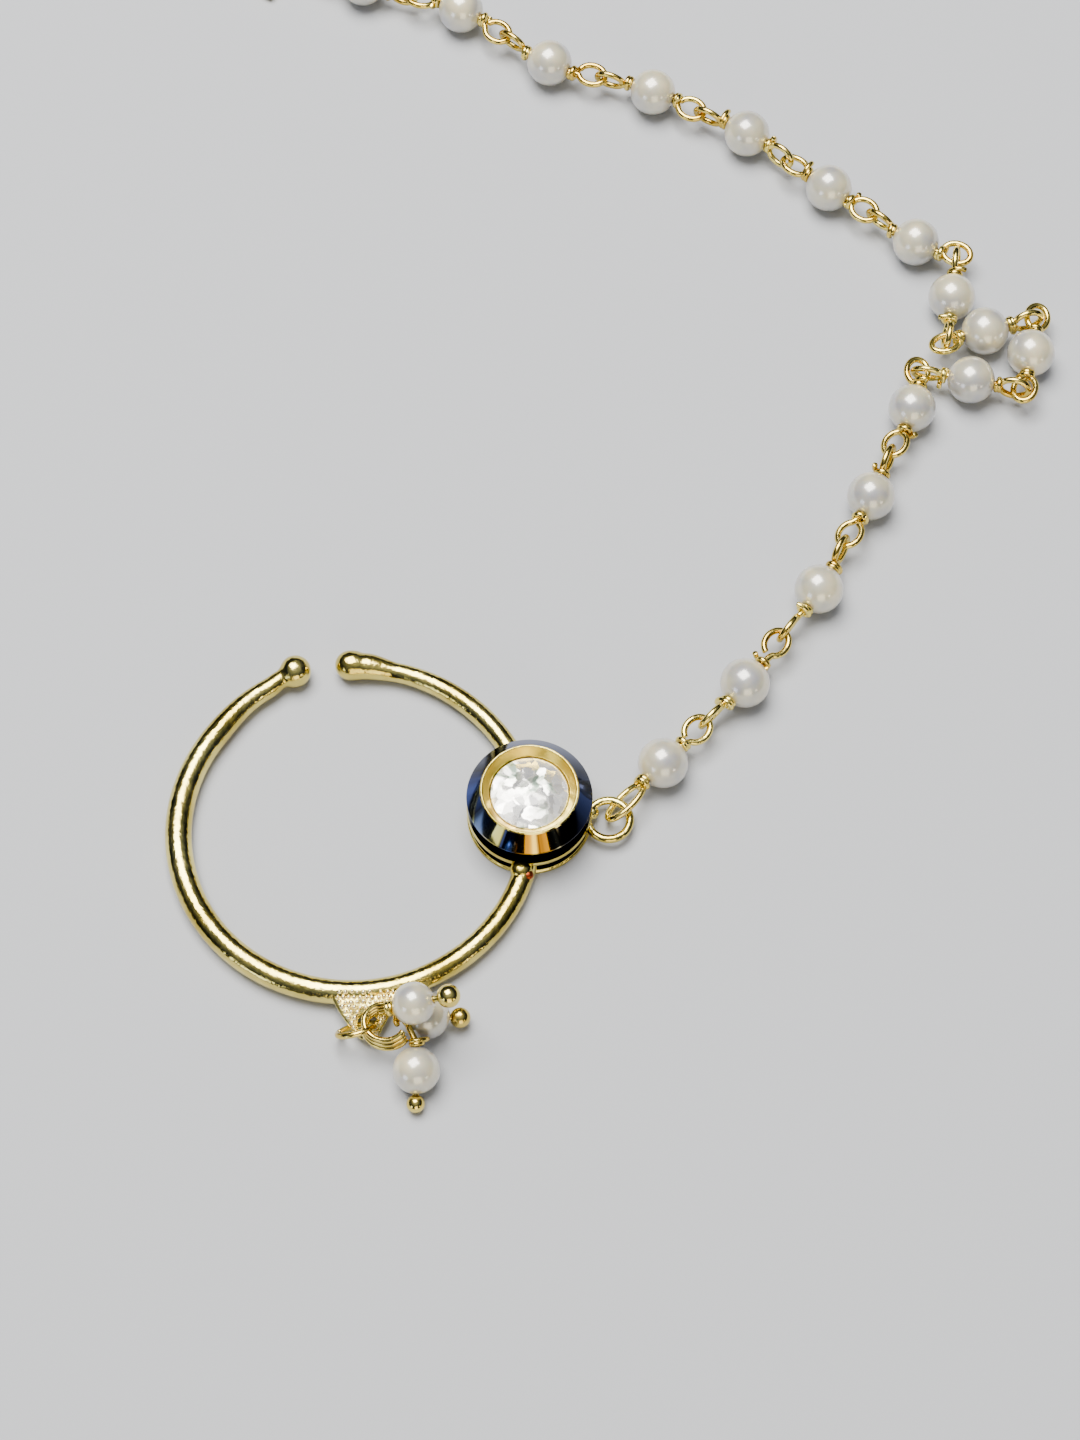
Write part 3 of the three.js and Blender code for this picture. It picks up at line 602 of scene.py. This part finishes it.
def smooth_line(points, beside, step=0.13):
    """A curve through points, with the direction beside it: on each span a cubic whose end slopes come from
    the points on either side, over knots spaced by the square root of each span."""
    spans = np.linalg.norm(np.diff(points, axis=0), axis=1)
    knots = np.concatenate([[0], np.cumsum(np.sqrt(spans))])
    far = np.concatenate([[0], np.cumsum(spans)])
    slopes = np.gradient(points, knots, axis=0)
    place = np.interp(np.linspace(0, far[-1], int(far[-1] / step) + 2), far, knots)
    k = np.clip(np.searchsorted(knots, place, "right") - 1, 0, len(spans) - 1)
    width = (knots[k + 1] - knots[k])[:, None]
    part = (place - knots[k])[:, None] / width
    line = (points[k] * (1 + 2 * part) * (1 - part) ** 2 + slopes[k] * width * part * (1 - part) ** 2
            + points[k + 1] * part ** 2 * (3 - 2 * part) + slopes[k + 1] * width * part ** 2 * (part - 1))
    return line, beside[k] * (1 - part) + beside[k + 1] * part


def eye_line(centre, along, across, long, wide):
    """An eye bent in the wire: the ellipse centre + long cos a along + wide sin a across, nine tenths of a
    turn, from beside its neck round to its own tail. The direction beside it is square to its plane."""
    angle = np.linspace(EYE_START, EYE_STOP, 30)[:, None]
    line = centre + long * np.cos(angle) * along + wide * np.sin(angle) * across
    return line, np.broadcast_to(np.cross(along, across), line.shape)


def across_eye(along, roll):
    """The line across an eye: level and square to its length, then rolled about its length by degrees."""
    level = unit(np.cross(LEVEL, along))
    return np.cos(np.radians(roll)) * level + np.sin(np.radians(roll)) * np.cross(along, level)


def neck_wrap(start, axis, wire, seed, turns=1.6, rise=0.42):
    """The pin's tail wrapped round its neck: a helix (r cos a, r sin a, h a) along the axis. Its radius r
    opens out over the last sixth to a short free tip."""
    draw = np.random.default_rng(seed)
    angle = np.linspace(0, 2 * np.pi * turns, 44)
    first = unit(np.cross(axis, LEVEL + 0.01))
    turned_by = angle + draw.uniform(0, 2 * np.pi)
    part = (angle / angle[-1])[:, None]
    out = 1.75 * wire + 0.55 * np.clip((part - 0.84) / 0.16, 0, 1) ** 1.5
    round_neck = np.cos(turned_by)[:, None] * first + np.sin(turned_by)[:, None] * np.cross(axis, first)
    return tube(start + axis * (0.08 + rise * part) + out * round_neck, axis, wire * 0.85, 10)


# Faux nacre over a glass or resin ball: layers of pearl lacquer give a broad soft gloss under a sharper one,
# and ivory with faint grey clouds a millimetre or two wide.
# Its lilac sheen tint is a painted reflection of a blue surround at the pearls' edges.
pearl_nacre, nacre_tree, nacre_shader = new_material(
    "pearl_nacre", Roughness=0.3, IOR=2.1, Subsurface_Weight=0.1, Subsurface_Scale=0.5 * MM,
    Coat_Weight=1.0, Coat_Roughness=0.17, Coat_IOR=2.1, Sheen_Weight=0.15, Sheen_Roughness=0.3,
    Sheen_Tint=linear("#b4a8e0"))
nacre_place = add_node(nacre_tree, "ShaderNodeTexCoord").outputs["Object"]
nacre_cloud = add_node(nacre_tree, "ShaderNodeTexNoise", values={"Scale": 1 / 0.0024, "Detail": 2.0},
                       links={"Vector": nacre_place})
nacre_colour = add_node(nacre_tree, "ShaderNodeValToRGB", links={"Fac": nacre_cloud.outputs["Fac"]}, stops=[
    (0.3, "#9a9a9e"), (0.5, "#bcb8a2"), (0.7, "#dad0ac")])
nacre_tree.links.new(nacre_colour.outputs["Color"], nacre_shader.inputs["Base Color"])
nacre_grain = add_node(nacre_tree, "ShaderNodeTexNoise", values={"Scale": 1 / 0.0005, "Detail": 2.0},
                       links={"Vector": nacre_place})
nacre_bump = add_node(nacre_tree, "ShaderNodeBump", values={"Strength": 0.12, "Distance": 0.02 * MM},
                      links={"Height": nacre_grain.outputs["Fac"]})
nacre_tree.links.new(nacre_bump.outputs["Normal"], nacre_shader.inputs["Normal"])
DRILL, UNEVEN = 0.38, 0.007


def pearl(name, node, centre, axis, radius, seed):
    """A drilled pearl: rings of radius R cos p at R sin p along its drill axis, closed through the drill
    hole. Two slow waves round it, of UNEVEN of its radius each, keep it from being a perfect ball."""
    lift = np.linspace(-1, 1, 30) * (np.pi / 2 - np.arcsin(DRILL / radius))
    turn = np.linspace(0, 2 * np.pi, 44, endpoint=False)
    phase = np.random.default_rng(seed).uniform(0, 2 * np.pi, 2)
    waves = np.cos(2 * turn + phase[0]) + np.sin(3 * turn + phase[1])
    uneven = 1 + UNEVEN * np.cos(lift)[:, None] ** 2 * waves
    second = unit(np.cross(axis, LEVEL + 0.01))
    first = np.cross(second, axis)
    circle = np.cos(turn)[:, None] * first + np.sin(turn)[:, None] * second
    grid = centre + radius * (np.cos(lift)[:, None, None] * uneven[..., None] * circle
                              + np.sin(lift)[:, None, None] * axis)
    on_ring(mesh_piece(name, [skin(grid, closed=True)], [pearl_nacre]), "pearl", node)


DROP_WIRE = 0.24
# pearl and its radius, ball and its radius, the eye's centre,
# then its heading, tip and roll, its half length and its half width
DROPS = {
    "a": ((5.09, -16.36, 5.35), 1.62, (7.72, -16.1, 6.2), 0.9, (2.84, -17.02, 3.08),
          160, -13, -12, 1.68, 1.38),
    "b": ((5.9, -16.02, 1.8), 1.8, (8.46, -15.88, 1.0), 0.8, (2.88, -17.12, 2.64),
          160, -12, -12, 1.72, 1.4),
    "c": ((5.22, -20.38, 1.8), 1.8, (5.18, -22.7, 0.8), 0.7, (2.94, -17.22, 2.2),
          160, -11, -12, 1.8, 1.45),
}
for letter, (at, pearl_radius, ball, ball_radius, eye_at, heading, tip, roll, long, wide) in DROPS.items():
    at, ball = np.array(at), np.array(ball)
    axis = unit(at - ball)
    heading, tip = np.radians(heading), np.radians(tip)
    along = np.array([np.cos(tip) * np.cos(heading), np.cos(tip) * np.sin(heading), np.sin(tip)])
    eye, square = eye_line(np.array(eye_at), along, across_eye(along, roll), long, wide)
    neck = at + axis * (pearl_radius + 0.05)
    plain = unit(square[0] - (square[0] @ axis) * axis)
    line, beside = smooth_line(np.concatenate([[ball, at, neck], eye]), np.concatenate([[plain] * 3, square]))
    ball_end = many(small_ball(16, 28), ball[None], [ball_radius])
    parts = [tube(line, beside, DROP_WIRE), ball_end, neck_wrap(neck, axis, DROP_WIRE, ord(letter))]
    on_ring(mesh_piece("drop_pin_wire_" + letter, parts, [gold_wire]), "gold_wire", "drop_pin_" + letter)
    pearl("pearl_drop_" + letter, "drop_pearl_" + letter, at, axis, pearl_radius, ord(letter) + 40)

# ---- Pearl chain ------------------------------------------------------------------------------------------
# Sixteen drilled pearls, each on its own short pin of gold wire with an eye at both ends. The eyes link
# pearl to pearl, by turns flat and upright, from the side ring to the hook. It lies in a curve with one fold.
PEARL, WIRE = 2.0, 0.27
EYE_LONG, EYE_WIDE, FIRST_LONG, FIRST_WIDE, EYE_SLACK = 1.2, 0.92, 1.9, 1.0, 0.85
FLAT, UPRIGHT, FIRST_ROLL = 12, 80, 42
# x, y and how far the eye on the far side is rolled
CHAIN = np.array([
    [24.27, 5.13, FLAT], [30.97, 12.21, FLAT], [37.24, 20.78, UPRIGHT], [41.9, 29.52, UPRIGHT],
    [45.75, 38.05, FLAT], [50.88, 40.82, UPRIGHT], [56.13, 43.52, FLAT], [52.38, 45.73, FLAT],
    [49.78, 49.19, UPRIGHT], [47.01, 54.87, UPRIGHT], [39.74, 60.56, FLAT], [32.77, 66.41, UPRIGHT],
    [24.57, 70.94, UPRIGHT], [15.4, 74.15, UPRIGHT], [7.44, 80.1, FLAT], [-1.47, 83.18, FLAT],
])
# where the eyes meet, in the fold, after the pearl of that number
FOLD = {5: (46.4, 41.65), 6: (55.3, 39.85), 7: (56.9, 47.0), 8: (49.0, 44.5), 9: (50.5, 53.65)}
FIRST_MEETING = SIDE_RING_AT + [1.15, 1.2, 0.3]
LAST_MEETING = np.append(CHAIN[-1, :2] + [-3.8, 1.8], PEARL)
halfway = (CHAIN[1:, :2] + CHAIN[:-1, :2]) / 2
meetings = np.concatenate([
    [FIRST_MEETING], np.column_stack([halfway, np.full(len(halfway), PEARL)]), [LAST_MEETING]])
for number, place in FOLD.items():
    meetings[number, :2] = place

# Each pin runs from its near eye through its pearl to its far eye. The direction beside the wire keeps to one
# way round from eye to eye, so the wire doesn't twist over.
for k, (x, y, far_roll) in enumerate(CHAIN):
    at = np.array([x, y, PEARL])
    near_roll = FIRST_ROLL if k == 0 else UPRIGHT if CHAIN[k - 1, 2] == FLAT else FLAT
    axis = unit((meetings[k + 1] - meetings[k]) * [1, 1, 0])
    ends = []
    for meeting, roll, side in ((meetings[k], near_roll, -1), (meetings[k + 1], far_roll, 1)):
        long, wide = (FIRST_LONG, FIRST_WIDE) if k == 0 and side < 0 else (EYE_LONG, EYE_WIDE)
        along = unit(meeting - at)
        away = max(PEARL + NECK + long, np.linalg.norm(meeting - at) - EYE_SLACK)
        eye, square = eye_line(at + along * away, along, across_eye(along, roll), long, wide)
        neck = at + side * axis * (PEARL + 0.05)
        ends.append((np.concatenate([[neck], eye]), np.concatenate([square[:1], square])))
    (near, near_square), (far, far_square) = ends
    far_square = far_square * np.sign(near_square[0] @ far_square[0] + 1e-6)
    middle = (near_square[:1] + far_square[:1]) / 2
    line, beside = smooth_line(np.concatenate([near[::-1], [at], far]),
                               np.concatenate([near_square[::-1], middle, far_square]))
    wraps = [neck_wrap(near[0], -axis, WIRE, k), neck_wrap(far[0], axis, WIRE, 50 + k)]
    number = f"{k + 1:02d}"
    wire = mesh_piece("pin_wire_" + number, [tube(line, beside, WIRE), *wraps], [gold_wire])
    on_ring(wire, "gold_wire", "chain_pin_" + number)
    pearl("pearl_" + number, "chain_pearl_" + number, at, axis, PEARL, k)

# ---- Hair hook --------------------------------------------------------------------------------------------
# A plain hook of the hoop's gold, bent from one length of round wire: an upright eye for the last pearl, a
# straight shank and a bend that turns back and flares at its tip.
HOOK_HEADING, HOOK_WIRE, HOOK_LIFT, HOOK_EYE, HOOK_REACH = np.radians(150), 0.5, 0.03, 1.25, 0.65
HOOK_SHANK, HOOK_BEND, HOOK_BACK, HOOK_FLARE = 6.5, 1.9, 4.3, 0.12
ALONG, ASIDE = np.array([1.0, 0, 0]), np.array([0, 1.0, 0])
EYE_TURN, BEND_TURN = np.radians([20, 270]), np.radians([-90, 90])
hook_local = np.concatenate([
    circle_line(HOOK_EYE * LEVEL, ALONG, LEVEL, HOOK_EYE, 24, *EYE_TURN, True),
    [[1.5, 0, 0], [4.0, 0, 0]],
    circle_line(HOOK_SHANK * ALONG + HOOK_BEND * ASIDE, ALONG, ASIDE, HOOK_BEND, 14, *BEND_TURN, True),
    [[HOOK_SHANK - HOOK_BACK / 2, 2 * HOOK_BEND, 0], [HOOK_SHANK - HOOK_BACK, 2 * HOOK_BEND + HOOK_FLARE, 0]],
]) + [HOOK_REACH, 0, HOOK_WIRE + HOOK_LIFT]
hook_beside = np.concatenate([np.tile([0, -1.0, 0], (24, 1)), [[0, -0.5, 0.5]], np.tile(LEVEL, (17, 1))])
cosine, sine = np.cos(HOOK_HEADING), np.sin(HOOK_HEADING)
turn_hook = np.array([[cosine, sine, 0], [-sine, cosine, 0], [0, 0, 1]])
hook_line, hook_square = smooth_line(hook_local @ turn_hook, hook_beside @ turn_hook, 0.2)
hook_line[:, :2] += LAST_MEETING[:2]
on_ring(mesh_piece("hair_hook_wire", [tube(hook_line, hook_square, HOOK_WIRE, 20)], [gold_plate]),
        "gold_plate", "hair_hook")
